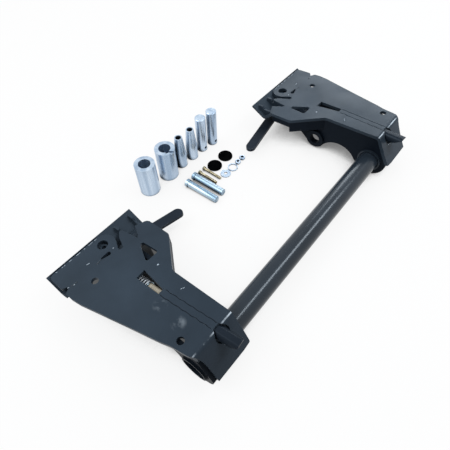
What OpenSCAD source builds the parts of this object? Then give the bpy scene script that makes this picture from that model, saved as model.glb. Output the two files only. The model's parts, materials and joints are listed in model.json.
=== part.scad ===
// Loader-side quick attach coupler, lying on its back on the floor.
// Two mirrored plates are joined by a cross tube. Each plate carries a sprung wedge,
// pushed out through the bottom flange by a hand lever, and its loose pin kit stands beside it.
// Plate frame: x across the machine, y from hole C towards the top lip, z out of the face.

/* [Face plate] */
// Thickness of the face plate and its bent flange
plate_t = 10; // [8:0.5:12]
// Height of the lip's top edge above hole C
lip_y = 377; // [370:0.5:384]
// Height where the top band begins
band_y = 304; // [300:0.5:308]
// Distance of the inner edge from the middle at the top
inner_x_top = 281; // [276:0.5:286]
// Distance of the inner edge from the middle beside the bend
inner_x_low = 353.5; // [350:0.5:358]
// Distance of the outer corner of the lip from the middle
outer_x = 559; // [555:0.5:565]
// Height of the bend's apex line
bend_y = -46; // [-50:0.5:-42]
// Outer radius of the bend
bend_r = 16; // [14:0.5:20]
// Angle between the flange and the face
flange_angle = 63; // [58:0.5:68]
// Length of the flange down its slope
flange_len = 104; // [95:0.5:110]

/* [Holes in the face] */
// Radius of lever access hole A
hole_a_r = 14.7; // [12:0.1:16]
// Radius of mounting hole B
hole_b_r = 9.3; // [8:0.1:11]
// Radius of mounting hole C
hole_c_r = 9.5; // [8:0.1:11]
// Radius of the ear round hole A
ear_r = 34; // [32:0.5:35]
// Radius of the relief slot beside the ear
slot_r = 3.5; // [3:0.1:4]

/* [Top lip] */
// Thickness of the bent lip plate
lip_t = 8; // [6:0.5:9]
// Depth of the lip's fold behind the face
lip_depth = 28.5; // [26:0.5:31]
// Height of the fold line
lip_fold_y = 331; // [328:0.5:334]
// Thickness of the webs inside the lip
web_t = 6; // [4:0.5:8]
// Radius of the boss on the lip behind hole A
boss_r = 10.5; // [9:0.5:12]

/* [Ribs and pivots] */
// Thickness of the inner and outer ribs
rib_t = 12; // [10:0.5:14]
// Gap between the inner and outer ribs
rib_gap = 100; // [90:1:102]
// Height of the pivot axis, which is also the cross tube's
hub_y = -31; // [-34:0.5:-28]
// Depth of the pivot axis behind the face
hub_z = -93; // [-96:0.5:-90]
// Radius of the ribs round the pivot
hub_lobe_r = 54; // [50:0.5:56]
// Outer radius of a pivot bush
bush_r = 36; // [33:0.5:38]
// Bore radius of a pivot bush
bush_bore_r = 25; // [20:0.5:27]
// Length of a pivot bush
bush_len = 24; // [20:1:28]
// Height of the tilt pin axis
tilt_y = 165; // [160:0.5:170]
// Depth of the tilt pin axis
tilt_z = -91; // [-94:0.5:-88]
// Radius of the ribs round the tilt pin
tilt_lobe_r = 36; // [33:0.5:38]
// Outer radius of a tilt boss
tilt_boss_r = 31; // [26:0.5:32]
// Radius of the tilt pin bore
tilt_bore_r = 17.75; // [15:0.05:20]
// Radius of the arch between the two lobes
arch_r = 70; // [66:0.5:72]
// Outer radius of the cross tube
tube_r = 31; // [29:0.5:33]
// Wall of the cross tube
tube_wall = 5; // [3:0.5:8]

/* [Wedge and guide] */
// Radius of the round wedge bar
wedge_r = 16; // [14:0.25:16.25]
// Radial clearance of the wedge in its guide
wedge_gap = 0.4; // [0.3:0.05:0.6]
// Outer radius of the guide tube
guide_r = 21; // [20.5:0.25:22]
// Depth of the wedge axis behind the face
wedge_depth = 19; // [18.5:0.25:20]
// Inward lean of the wedge axis
wedge_skew = 4.2; // [3:0.1:5]
// Distance of the wedge axis from the middle at hole C's height
wedge_x0 = 403.4; // [400:0.2:406]
// Reach of the wedge tip below hole C
tip_reach = 104; // [100:1:110]

/* [Lever and link] */
// Distance of the lever pivot from the middle
pivot_x = 470; // [466:1:474]
// Height of the lever pivot
pivot_y = 352; // [350:1:354]
// Length of the lever from pivot to the centre of its round tip
lever_len = 294; // [280:1:300]
// Direction of the lever at rest
lever_dir = 188.4; // [187:0.2:190]
// Width of the lever bar
lever_w = 32; // [28:1:34]
// Thickness of the lever bar
lever_t = 10; // [8:0.5:10]
// Crank radius from the pivot to the link pin
crank_r = 58; // [56:0.5:59]
// Distance along the lever at which the handle bends back
handle_bend_at = 140; // [135:1:150]
// Angle of the handle's backward bend
handle_bend = 5.5; // [3:0.5:6]
// Radius of the link rod
rod_r = 6; // [5:0.5:6.5]

/* [Link spring] */
// Mean radius of the coils
coil_r = 10; // [9.5:0.5:10.5]
// Radius of the spring wire
wire_r = 2; // [1.2:0.1:2.2]
// Turns of the spring
coil_turns = 10; // [8:1:11]
// Rise of one turn
coil_pitch = 7; // [6.5:0.25:7.5]

/* [Loose pin kit] */
// Outer radius of a pivot sleeve
sleeve_r = 32; // [30:0.5:34]
// Bore radius of a pivot sleeve
sleeve_bore_r = 19; // [18:0.25:20]
// Length of a pivot sleeve
sleeve_len = 114; // [105:1:120]
// Outer radius of a tapered sleeve at its foot
taper_r = 19.5; // [17:0.25:20]
// Outer radius of a tapered sleeve at its mouth
taper_top_r = 12.5; // [11.5:0.25:13.5]
// Bore radius of a tapered sleeve
taper_bore_r = 9.5; // [8:0.25:10]
// Length of a tapered sleeve
taper_len = 117; // [110:1:122]
// Radius of a cross-drilled pin
pin_r = 17.5; // [16:0.25:18]
// Length of a cross-drilled pin
pin_len = 134; // [130:1:138]
// Radius of a pin's cross hole
cross_r = 5.5; // [4:0.25:6]
// Radius of a headed pin
headed_r = 11; // [9:0.25:11.5]
// Length of a headed pin
headed_len = 119; // [110:1:122]
// Length of a retainer bolt
bolt_len = 75; // [60:1:78]
// Radius of a rubber disc
disc_r = 24.5; // [22:0.5:25]
// Outer radius of the flat washer and the split ring
washer_r = 17; // [14:0.5:17.5]
// Width of a retainer nut across its flats
nut_flats = 17; // [15:0.5:17.5]

/* [Hidden] */
$fn = 64;
tiny = 0.5;
long = 400;

// Faces of the ribs across the machine
rib_in_x = inner_x_low + 0.5;
rib_in_back = rib_in_x + rib_t;
rib_out_x = rib_in_back + rib_gap;
rib_out_back = rib_out_x + rib_t;

// The coupler rests on the round lobes of its ribs, so it leans by this much
lobe_dy = tilt_y - hub_y;
lobe_dz = tilt_z - hub_z;
rest_tilt = atan2(lobe_dz, lobe_dy)
    - asin((tilt_lobe_r - hub_lobe_r) / norm([lobe_dy, lobe_dz]));
rest_z = sin(rest_tilt) * hub_y - cos(rest_tilt) * hub_z + hub_lobe_r;

// Bend of the face plate
bend_run = bend_r * tan(flange_angle / 2);
bend_cy = bend_y + bend_run;
flange_dir = [-cos(flange_angle), -sin(flange_angle)];
flange_in = [sin(flange_angle), -cos(flange_angle)];

// Holes and slots of the face
hole_a = [408.8, 340.3];
hole_b = [489.3, 270.1];
hole_c = [470.4, 0];
ear_slot_end = [385.5, 296];
ear_slot_end_r = 2 * slot_r;
ear_slot_mouth = [362, 344];
finger_tip = [352, 331.5];
finger_r = 6;
notch_end = [334, 291];
notch_r = 4.5;
band_x = 554;
corner_r = 14;
field_corner = [band_x - 2.2, band_y - 2.4];
relief_end = [band_x - 8.5, 309];
relief_mouth = relief_end + [21, 7.5];
relief_r = 3.6;
inner_relief = [[417, 305.5], [437, 308]];
inner_relief_r = [6, 3];

// Lip section, and the face's top edge a weld's width below it
lip_weld = 4.5;
face_top_y = lip_y - lip_weld;
lip_run = lip_y - lip_fold_y;
lip_len = norm([lip_run, lip_depth]);
lip_u = [lip_run, lip_depth] / lip_len;
lip_back = [lip_u[1], -lip_u[0]] * lip_t;
foot_y = 307;
foot_run = [foot_y - lip_fold_y, lip_depth - plate_t];
foot_u = foot_run / norm(foot_run);
foot_back = [-foot_u[1], foot_u[0]] * lip_t;
lip_flat_z = -lip_depth - 7.5;
lip_front = 0;
lip_in_x = 284.4;
web_x = [297, 347];
web_y = 362;
web_gap = 0.3;
web_foot_y = foot_y + web_gap * (lip_fold_y - foot_y) / (lip_depth - plate_t);
boss_top = -11;
boss_bore_r = 6;

// Arch between the two lobes of a rib
arch_c = [80, -151];
hub_c = [hub_y, hub_z];
tilt_c = [tilt_y, tilt_z];
rib_top_y = 285;
rib_top_z = -34;
lobe_tangent = 49;

// Skirt along the inner edge of the face
skirt_t = 8;
skirt_depth_top = 27;
skirt_depth_low = 45;
skirt_corner_y = 225;
skirt_low_y = 139;
skirt_end_y = 293;

// Wedge line and the pin that the link hooks round
wedge_pin_s = 100;
wedge_pin_r = 4;
fork_len = 13;
fork_root = 15.5;
fork_slot = 10.4;
fork_z = -wedge_depth - 1.5;
eye_t = 8;
eye_r = 10.5;
wedge_flat = 14.8;
tip_h = 5;
guide_top_s = 119;
guide_end_y = bend_y + 8;
wedge_u = [sin(wedge_skew), cos(wedge_skew)];
wedge_pin = [wedge_x0, 0] + wedge_pin_s * wedge_u;
under_gap = 0.4;
high_flat = wedge_depth - plate_t - under_gap;
wedge_travel = 52.6;
high_flat_y = (guide_top_s - wedge_travel) * cos(wedge_skew) - 2.2;
running_gap = 0.08;

// Heights of the lever stack behind the lip
bracket_z = lip_flat_z;
bracket_t = 10;
spacer_t = 10;
lever_gap = 0.4;
lever_top = bracket_z - bracket_t - spacer_t - lever_gap;
lever_low = lever_top - lever_t;
bolt_r = 8;
washer_t = 2.6;
head_t = 10;
eye_gap = 1.5;
eye_z = lever_top + eye_gap;
crank_pin_r = 6;
crank_head_r = 9;
crank_head_t = 4;
crank_c = [pivot_x, pivot_y] + crank_r * [cos(lever_dir), sin(lever_dir)];
link_low = [wedge_pin[0], wedge_pin[1], fork_z];
link_top = [crank_c[0], crank_c[1], eye_z + eye_t / 2];
link_v = link_top - link_low;
link_len = norm(link_v);
link_yaw = atan2(-link_v[0], link_v[1]);
link_pitch = asin(link_v[2] / link_len);
shank_s = 23;
sleeve_s = 27;
sleeve_run = 40;
spring_s = sleeve_s + sleeve_run + 2.4;
nut_s = spring_s + coil_turns * coil_pitch + 2 * wire_r;

// Places of the loose kit on the floor, beyond the reach of both levers
sleeve_at = [[-144, 459], [-59, 458]];
taper_at = [[0, 455], [50, 452]];
pin_at = [[99, 450], [146, 444]];
headed_at = [[-58, 376], [-23, 379]];
bolt_at = [[4.5, 380], [27, 381]];
disc_at = [[62, 361.5], [119, 362.5]];
ring_at = [[57.5, 310.5], [94, 309.5]];
nut_at = [[122.5, 310], [147, 311]];

// Shift that puts the middle of the whole set over the origin
tip_half_w = sqrt(pow(wedge_r, 2) - pow(wedge_flat - tip_h, 2));
front_y = -cos(rest_tilt) * (tip_reach * cos(wedge_skew) + tip_half_w * sin(wedge_skew))
    - sin(rest_tilt) * (wedge_depth - wedge_flat + tip_h);
frame_y = -(front_y + sleeve_at[0][1] + sleeve_r) / 2;

// Puts a shape drawn in the plate frame where the coupler rests on the floor
module rest(side = 1) {
    translate([0, frame_y, rest_z])
        rotate([-rest_tilt, 0, 0])
            if (side > 0) {
                children();
            } else {
                mirror([1, 0, 0]) children();
            }
}

// Round-ended bar between two points of a flat drawing
module stadium(p, q, r) {
    d = q - p;
    translate(p) circle(r);
    translate(q) circle(r);
    translate(p) rotate(atan2(d[1], d[0])) translate([0, -r]) square([norm(d), 2 * r]);
}

// Stands a drawing of the y-z plane across the machine, from x0 over a width w
module across(x0, w) {
    translate([x0, 0, 0]) rotate([90, 0, 90]) linear_extrude(w) children();
}

// Runs along the wedge line, with its own z axis up the wedge
module on_wedge_line() {
    translate([wedge_x0, 0, -wedge_depth])
        rotate([0, 0, -wedge_skew])
            rotate([-90, 0, 0])
                children();
}

// Runs along the link, with its own z axis from the wedge pin to the lever
module on_link_line() {
    translate(link_low)
        rotate([0, 0, link_yaw])
            rotate([link_pitch - 90, 0, 0])
                children();
}

module ring(r, bore, h) {
    difference() {
        cylinder(r = r, h = h);
        translate([0, 0, -1]) cylinder(r = bore, h = h + 2);
    }
}

// Hexagonal prism by its width across the flats
module hex(across_flats, h) {
    cylinder(r = across_flats / sqrt(3), h = h, $fn = 6);
}

// Slot between two points that widens from one end radius to the other
module tapered_slot(p, q, rp, rq) {
    proud = 0.1;
    d = (q - p) / norm(q - p);
    out = [-d[1], d[0]];
    translate(p) circle(rp);
    translate(q) circle(rq);
    polygon([p + (rp - proud) * out, p - (rp - proud) * out, q - (rq - proud) * out,
        q + (rq - proud) * out]);
}

// Triangle with round corners, whose sides run just inside the corner circles
module triangle_hole() {
    r = 6.5;
    waist = r - 0.1;
    corners = [[345.5, 254], [343, 213], [367, 213.5]];
    for (c = corners) translate(c) circle(r);
    polygon([for (i = [0 : 2])
        let (p = corners[i], q = corners[(i + 1) % 3], d = (q - p) / norm(q - p),
            out = waist * [d[1], -d[0]])
            each [p + out, q + out]]);
}

module window() {
    polygon([[395.5, 194.5], [422.5, 193], [420.5, 117.5], [405.5, 119.5]]);
}

// Outline of the flat part of the face, above the bend
module face_outline() {
    difference() {
        union() {
            // Main field, from the bend up to the band
            polygon([[inner_x_low, bend_cy], [inner_x_low + 1.2, skirt_low_y - 6],
                [inner_x_low - 1.5, skirt_low_y + 2], [inner_x_top + 1, skirt_corner_y - 2],
                [inner_x_top, skirt_corner_y + 3], [inner_x_top, 297], [284.5, 304],
                [291, 308.5], [297, 309.5], [313, 318], [316, 317], [notch_end[0] - 3, notch_end[1]],
                [340, 280], ear_slot_end - [8, 12], ear_slot_end + [8, 5], [430, band_y],
                [field_corner[0] - 5.8, band_y], field_corner, field_corner + [2.6, -5.6],
                [band_x + 1, 278], [550.8, 249], [536.5, 191.4],
                [517, 110.5], [499, 33], [492, 10], [489, -8], [487, -24],
                [484.5, bend_cy]]);
            // Band under the top edge, rounded at its outer corner
            translate([hole_a[0], band_y - tiny])
                square([band_x - hole_a[0], face_top_y - band_y - corner_r + tiny]);
            translate([hole_a[0], face_top_y - corner_r - tiny])
                square([band_x - corner_r - hole_a[0], corner_r + tiny]);
            translate([band_x - corner_r, face_top_y - corner_r]) circle(corner_r);
            // Ear round hole A and its neck
            translate(hole_a) circle(ear_r - 2.5);
            translate(hole_a - [0, 2]) circle(ear_r);
            polygon([[hole_a[0] - ear_r, hole_a[1] - 2], [hole_a[0], hole_a[1] - 2],
                [430, band_y - 1], [ear_slot_end[0], ear_slot_end[1] - 4]]);
            // Finger between the slot and the notch
            translate(finger_tip) circle(finger_r);
            polygon([finger_tip + [-5.6, -2], finger_tip + [4.6, 3.9], [392, 289],
                [376, 276], [338, 279]]);
        }
        // Slot between the ear and the finger
        tapered_slot(ear_slot_mouth, ear_slot_end, slot_r, ear_slot_end_r);
        // Notch between the finger and the inner tongue
        translate(notch_end) circle(notch_r);
        polygon([notch_end + [-4.4, 1], notch_end + [4.4, 1.5], finger_tip + [-5.8, -2],
            [338, 345], [310, 345], [316, 317]]);
        // Relief slots at both ends of the band line
        tapered_slot(inner_relief[0], inner_relief[1], inner_relief_r[0], inner_relief_r[1]);
        stadium(relief_mouth, relief_end, relief_r);
        translate(relief_end) circle(relief_r + 0.6);
        polygon([relief_end + [10.5, 15], relief_end + [7.3, 9], relief_end + [1.5, 5],
            relief_end + [0.5, -5.2], relief_end + [6.5, -7.6], relief_end + [14.5, -7.6]]);
        triangle_hole();
        window();
    }
}

// The face's top edge leans back with the lip behind it
module face_bevel() {
    across(inner_x_top - 10, outer_x)
        polygon([[face_top_y, 0.01], [face_top_y - plate_t * lip_run / lip_depth - tiny,
            -plate_t - 0.3], [face_top_y + 60, -plate_t - 0.3], [face_top_y + 60, 1],
            [face_top_y + 1.6, 1]]);
}

// Half space outside a plane that lies parallel to the flange through (y, 0)
module beyond_flange(y, off = 0) {
    translate([0, y, 0])
        rotate([flange_angle, 0, 0])
            translate([0, -2 * long, off])
                cube([2 * long, 4 * long, long]);
}

module flange_outline() {
    polygon([[inner_x_low, tiny - bend_run], [479.6 - bend_run * 0.45, tiny - bend_run],
        [474, -13], [469.5, -32], [467.2, -58], [467.5, -flange_len],
        [379, -flange_len - 1], [356.5, 1.5 - flange_len], [inner_x_low + 1, 6 - flange_len],
        [inner_x_low, -60]]);
}

// Section of the bent plate: the face, the round bend and the flange
module plate_section() {
    steps = 18;
    c = [bend_cy, -bend_r];
    end = [bend_y, 0] + 1.5 * flange_len * flange_dir;
    arc = [for (i = [0 : steps]) [cos(90 + flange_angle * i / steps),
        sin(90 + flange_angle * i / steps)]];
    polygon(concat([[long, 0]], [for (a = arc) c + bend_r * a], [end],
        [end + plate_t * flange_in],
        [for (i = [steps : -1 : 0]) c + (bend_r - plate_t) * arc[i]], [[long, -plate_t]]));
}

module face_plate(side) {
    bend_end = [480 - bend_run * 0.45, bend_y + bend_run * flange_dir[0]];
    color("slategray")
        rest(side)
            difference() {
                intersection() {
                    across(inner_x_top - 10, outer_x) plate_section();
                    union() {
                        translate([0, 0, -plate_t - 1]) linear_extrude(plate_t + 2) face_outline();
                        translate([0, 0, -long])
                            linear_extrude(2 * long)
                                polygon([[inner_x_low, bend_cy + 2], [484.5, bend_cy + 2],
                                    [484.5, bend_cy], bend_end - [0, tiny],
                                    [inner_x_low, bend_end[1] - tiny]]);
                        translate([0, bend_y, 0])
                            rotate([flange_angle, 0, 0])
                                translate([0, 0, -plate_t - 1])
                                    linear_extrude(plate_t + 2) flange_outline();
                    }
                }
                face_bevel();
                // Round bed of the wedge guide
                on_wedge_line()
                    translate([0, 0, -long / 2]) cylinder(r = guide_r, h = long / 2 + guide_top_s);
                for (h = [[hole_a, hole_a_r], [hole_b, hole_b_r], [hole_c, hole_c_r]])
                    translate([h[0][0], h[0][1], -plate_t - 1])
                        cylinder(r = h[1], h = plate_t + 2);
            }
}

module top_lip(side) {
    color("darkslategray")
        rest(side)
            across(lip_in_x, outer_x - lip_in_x)
                polygon([[lip_y, lip_front], [lip_fold_y, -lip_depth], [foot_y, -plate_t],
                    [foot_y - 13.1, -plate_t],
                    [lip_fold_y, -lip_depth] + foot_back
                        - foot_u * ((-lip_flat_z - lip_depth + foot_back[1]) / foot_u[1]),
                    [lip_fold_y, -lip_depth] + lip_back
                        - lip_u * ((-lip_flat_z - lip_depth + lip_back[1]) / lip_u[1]),
                    [lip_y, lip_front] + lip_back]);
}

// Two thin webs that stand in the fold of the lip
module lip_webs(side) {
    color("slategray")
        rest(side)
            for (x = web_x)
                across(x, web_t)
                    polygon([[web_y, -(lip_y - web_y) * lip_depth / lip_run], [web_y, -1],
                        [346, -1], [340, -plate_t - web_gap], [web_foot_y, -plate_t - web_gap],
                        [lip_fold_y, -lip_depth]]);
}

// Hollow boss on the lip, seen through hole A
module lip_boss(side) {
    color("darkslategray")
        rest(side)
            intersection() {
                across(hole_a[0] - 2 * boss_r, 4 * boss_r)
                    polygon([[lip_y, lip_front], [lip_fold_y, -lip_depth], [foot_y, -plate_t]]);
                translate([hole_a[0], hole_a[1], -2 * lip_depth])
                    ring(boss_r, boss_bore_r, 2 * lip_depth + boss_top);
            }
}

function touch(c, r, d) = c + r * (d - c) / norm(d - c);

module rib_outline() {
    end = tilt_c + tilt_lobe_r * [cos(-lobe_tangent), sin(-lobe_tangent)];
    difference() {
        union() {
            translate(hub_c) circle(hub_lobe_r);
            translate(tilt_c) circle(tilt_lobe_r);
            polygon([[rib_top_y, -plate_t], [bend_cy, -plate_t],
                [bend_cy, -bend_r] - (bend_r - plate_t) * flange_in,
                [bend_y, 0] + (flange_len - 5) * flange_dir + plate_t * flange_in,
                hub_c, touch(hub_c, hub_lobe_r, arch_c), touch(tilt_c, tilt_lobe_r, arch_c),
                tilt_c, end, [rib_top_y, rib_top_z]]);
        }
        translate(arch_c) circle(arch_r);
        translate(tilt_c) circle(tilt_bore_r);
        translate(hub_c) circle(bush_r);
    }
}

module rib(side, x) {
    color("darkslategray")
        rest(side)
            difference() {
                across(x, rib_t) rib_outline();
                beyond_flange(bend_y, -plate_t);
            }
}

module skirt(side) {
    slope = [inner_x_low + 0.5 - inner_x_top, skirt_low_y - skirt_corner_y];
    out = [-slope[1], slope[0]] / norm(slope) * skirt_t;
    back_y = skirt_low_y + out[1] - out[0] * slope[1] / slope[0];
    color("darkslategray")
        rest(side) {
            translate([0, 0, -skirt_depth_top])
                linear_extrude(skirt_depth_top - plate_t)
                    polygon([[inner_x_top, skirt_corner_y], [inner_x_top, skirt_end_y],
                        [inner_x_top + skirt_t, skirt_end_y],
                        [inner_x_top + skirt_t, skirt_corner_y],
                        [inner_x_top, skirt_corner_y] + out]);
            translate([0, 0, -skirt_depth_low])
                linear_extrude(skirt_depth_low - plate_t)
                    polygon([[inner_x_top, skirt_corner_y], [rib_in_x, skirt_low_y],
                        [rib_in_x, back_y],
                        [inner_x_top, skirt_corner_y] + out]);
        }
}

module pivot_bush(x) {
    recess_r = 30;
    recess = 3;
    translate([x, hub_y, hub_z])
        rotate([0, 90, 0])
            difference() {
                cylinder(r = bush_r, h = bush_len);
                translate([0, 0, -1]) cylinder(r = bush_bore_r, h = bush_len + 2);
                translate([0, 0, bush_len - recess]) cylinder(r = recess_r, h = recess + 1);
            }
}

// Bushes for the loader arm's pin, one in each rib
module pivot_bushes(side) {
    color("darkslategray")
        rest(side) {
            pivot_bush(rib_in_x);
            pivot_bush(rib_out_back + 6 - bush_len);
        }
}

module tilt_bosses(side) {
    boss_t = 8;
    color("slategray")
        rest(side)
            for (x = [rib_in_x - boss_t, rib_out_back])
                translate([x, tilt_y, tilt_z])
                    rotate([0, 90, 0])
                        ring(tilt_boss_r, tilt_bore_r, boss_t);
}

// Guide tube, ground flush with the face and cut along the bend
module wedge_guide(side) {
    color("slategray")
        rest(side)
            difference() {
                on_wedge_line()
                    translate([0, 0, -60])
                        ring(guide_r, wedge_r + wedge_gap, guide_top_s + 60);
                translate([0, -long, 0]) cube([2 * long, 2 * long, 2 * guide_r]);
                beyond_flange(guide_end_y);
            }
}

module lever_bracket(side) {
    w = 60;
    reach = 372;
    low = 316;
    leg_t = 6;
    flat_y = lip_fold_y + lip_back[0]
        - lip_u[0] * ((-lip_flat_z - lip_depth + lip_back[1]) / lip_u[1]);
    color("darkslategray")
        rest(side) {
            difference() {
                translate([pivot_x - w / 2, low, bracket_z - bracket_t])
                    cube([w, reach - low, bracket_t]);
                translate([pivot_x, pivot_y, bracket_z - bracket_t - 1])
                    cylinder(r = bolt_r + 0.1, h = bracket_t + 2);
            }
            // Legs up to the sloping back of the lip
            for (x = [pivot_x - w / 2, pivot_x + w / 2 - leg_t])
                across(x, leg_t)
                    polygon([[flat_y, bracket_z - 0.01], [reach, bracket_z - 0.01],
                        [reach, bracket_z + (reach - flat_y) * lip_u[1] / lip_u[0]]]);
        }
}

module lever_spacer(side) {
    color("silver")
        rest(side)
            translate([pivot_x, pivot_y, bracket_z - bracket_t - spacer_t])
                ring(15, bolt_r + 0.1, spacer_t);
}

module lever_bolt(side) {
    low = lever_low - lever_gap - washer_t;
    color("silver")
        rest(side)
            translate([pivot_x, pivot_y, low - head_t]) {
                hex(24, head_t);
                cylinder(r = bolt_r, h = bracket_z - low + head_t - 0.5);
            }
}

module lever_washer(side) {
    color("silver")
        rest(side)
            translate([pivot_x, pivot_y, lever_low - lever_gap - washer_t])
                ring(15, bolt_r + 0.1, washer_t);
}

module cross_tube() {
    color("dimgray")
        rest()
            translate([-rib_in_x, hub_y, hub_z])
                rotate([0, 90, 0])
                    ring(tube_r, tube_r - tube_wall, 2 * rib_in_x);
}

// Weld collars where the tube meets the inner ribs
module tube_collars() {
    collar_r = 37;
    collar_t = 7;
    color("dimgray")
        rest()
            for (x = [-rib_in_x, rib_in_x - collar_t])
                translate([x, hub_y, hub_z])
                    rotate([0, 90, 0])
                        ring(collar_r, tube_r, collar_t);
}

// Bar lever: eye on the pivot, link pin hole, then the handle bent back and rounded
module lever(side) {
    half = lever_w / 2;
    eye = 19;
    rise = tan(handle_bend);
    drop = lever_t / cos(handle_bend);
    run = lever_len + half - handle_bend_at;
    color("darkslategray")
        rest(side)
            translate([pivot_x, pivot_y, lever_low])
                rotate([0, 0, lever_dir])
                    difference() {
                        intersection() {
                            translate([0, 2 * half, 0])
                                rotate([90, 0, 0])
                                    linear_extrude(4 * half)
                                        polygon([[-2 * eye, 0], [handle_bend_at, 0],
                                            [handle_bend_at + run, -run * rise],
                                            [handle_bend_at + run, drop - run * rise],
                                            [handle_bend_at, lever_t], [-2 * eye, lever_t]]);
                            translate([0, 0, -long / 2])
                                linear_extrude(long) {
                                    circle(eye);
                                    stadium([0, 0], [lever_len, 0], half);
                                }
                        }
                        translate([0, 0, -1])
                            cylinder(r = bolt_r + running_gap, h = lever_t + 2);
                        translate([crank_r, 0, -1]) cylinder(r = crank_pin_r, h = lever_t + 2);
                    }
}

module link_pin(side) {
    low = lever_low - 5;
    top = eye_z + eye_t + lever_gap;
    color("silver")
        rest(side)
            translate([crank_c[0], crank_c[1], low]) {
                cylinder(r = crank_pin_r, h = top - low + 1);
                translate([0, 0, top - low]) cylinder(r = crank_head_r, h = crank_head_t);
            }
}

module link_clip(side) {
    color("silver")
        rest(side)
            translate([crank_c[0], crank_c[1], lever_low - 2.2])
                ring(crank_head_r + 1, crank_pin_r, 2);
}

// Rod with a round eye on the lever's pin and a loose eye round the wedge's pin
module link_rod(side) {
    slack = 3.3;
    slot_half = wedge_pin_r + 1.6;
    shank_half = rod_r + 1;
    color("darkslategray")
        rest(side)
            difference() {
                union() {
                    translate([link_top[0], link_top[1], eye_z]) cylinder(r = 13, h = eye_t);
                    on_link_line()
                        translate([0, 0, shank_s]) cylinder(r = rod_r, h = link_len - shank_s - 9);
                    translate([link_low[0], link_low[1], fork_z - eye_t / 2])
                        linear_extrude(eye_t) {
                            circle(eye_r);
                            rotate(link_yaw)
                                translate([-shank_half, 0])
                                    square([2 * shank_half, shank_s + 3]);
                        }
                }
                translate([link_top[0], link_top[1], eye_z - 1])
                    cylinder(r = crank_pin_r + running_gap, h = eye_t + 2);
                translate([link_top[0], link_top[1], eye_z + eye_t])
                    cylinder(r = 14, h = eye_t);
                translate([link_low[0], link_low[1], fork_z - eye_t])
                    linear_extrude(2 * eye_t)
                        stadium([-slack, 0], [slack, 0], slot_half);
            }
}

module link_sleeve(side) {
    color("tan")
        rest(side)
            on_link_line() translate([0, 0, sleeve_s]) ring(9, rod_r, sleeve_run);
}

// Points of a coil: a round wire swept up a helix
function coil_points(r, wire, pitch, turns, steps, sides) = [
    for (i = [0 : steps * turns]) for (k = [0 : sides - 1])
        let (a = 360 * i / steps, b = 360 * k / sides, q = r + wire * cos(b))
            [q * cos(a), q * sin(a), pitch * i / steps + wire * sin(b)]];

function coil_faces(rings, sides) = concat(
    [[for (k = [0 : sides - 1]) k]],
    [for (i = [0 : rings - 2]) for (k = [0 : sides - 1])
        [i * sides + k, (i + 1) * sides + k,
            (i + 1) * sides + (k + 1) % sides, i * sides + (k + 1) % sides]],
    [[for (k = [sides - 1 : -1 : 0]) (rings - 1) * sides + k]]);

module coil(r, wire, pitch, turns, steps, sides) {
    polyhedron(coil_points(r, wire, pitch, turns, steps, sides),
        coil_faces(steps * turns + 1, sides), convexity = 10);
}

module link_spring(side) {
    color("gainsboro")
        rest(side)
            on_link_line()
                translate([0, 0, spring_s + wire_r])
                    coil(coil_r, wire_r, coil_pitch, coil_turns, 18, 6);
}

module spring_washers(side) {
    t = 2.4;
    color("silver")
        rest(side)
            on_link_line()
                for (s = [spring_s - t, nut_s])
                    translate([0, 0, s]) ring(12, rod_r, t);
}

module spring_nut(side) {
    color("silver")
        rest(side)
            on_link_line()
                translate([0, 0, nut_s + 2.4])
                    difference() {
                        hex(19, 10);
                        translate([0, 0, -1]) cylinder(r = rod_r, h = 12);
                    }
}

// Round bar with a flat on top, a chisel tip below and a fork above for the link
module wedge(side) {
    slope_run = 43;
    slope = (wedge_flat - tip_h + wedge_r) / slope_run;
    color("darkslategray")
        rest(side)
            difference() {
                on_wedge_line()
                    translate([0, 0, -tip_reach])
                        cylinder(r = wedge_r, h = tip_reach + wedge_pin_s + fork_len);
                // Flat on top, lower where the bar passes under the face
                translate([0, -long, -wedge_depth + wedge_flat])
                    cube([2 * long, 2 * long, wedge_r]);
                translate([0, high_flat_y, -wedge_depth + high_flat])
                    cube([2 * long, long, wedge_r]);
                // Chisel slope under the tip
                translate([wedge_x0, 0, -wedge_depth])
                    rotate([0, 0, -wedge_skew])
                        across(-2 * wedge_r, 4 * wedge_r)
                            polygon([[-tip_reach - 1, wedge_flat - tip_h + slope],
                                [slope_run - tip_reach + 1, -wedge_r - slope],
                                [-tip_reach - 1, -2 * wedge_r]]);
                // Fork slot and pin hole
                translate([wedge_pin[0], wedge_pin[1], fork_z - fork_slot / 2])
                    rotate([0, 0, -wedge_skew])
                        translate([-2 * wedge_r, -fork_root, 0])
                            cube([4 * wedge_r, 3 * fork_root, fork_slot]);
                translate([wedge_pin[0], wedge_pin[1], -wedge_depth - 2 * wedge_r])
                    cylinder(r = wedge_pin_r, h = 4 * wedge_r);
            }
}

module wedge_pin_piece(side) {
    low = -wedge_depth - wedge_r + 1.5;
    color("silver")
        rest(side)
            translate([wedge_pin[0], wedge_pin[1], low])
                cylinder(r = wedge_pin_r, h = -wedge_depth + high_flat - 0.5 - low);
}

// The second sleeve has a crescent pocket in its mouth
module pivot_sleeves() {
    color("lightsteelblue")
        translate([0, frame_y, 0])
            difference() {
                for (p = sleeve_at)
                    translate([p[0], p[1], 0]) ring(sleeve_r, sleeve_bore_r, sleeve_len);
                translate([sleeve_at[1][0] - 4, sleeve_at[1][1] - 10, sleeve_len - 5])
                    rotate([0, 0, -50])
                        translate([0, -14, 0]) cube([24, 12, 10]);
            }
}

module tapered_sleeves() {
    straight = 0.42 * taper_len;
    color("lightsteelblue")
        translate([0, frame_y, 0])
            for (p = taper_at)
                translate([p[0], p[1], 0])
                    difference() {
                        union() {
                            cylinder(r = taper_r, h = straight);
                            translate([0, 0, straight])
                                cylinder(r1 = taper_r, r2 = taper_top_r, h = taper_len - straight);
                        }
                        translate([0, 0, -1]) cylinder(r = taper_bore_r, h = taper_len + 2);
                    }
}

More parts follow.
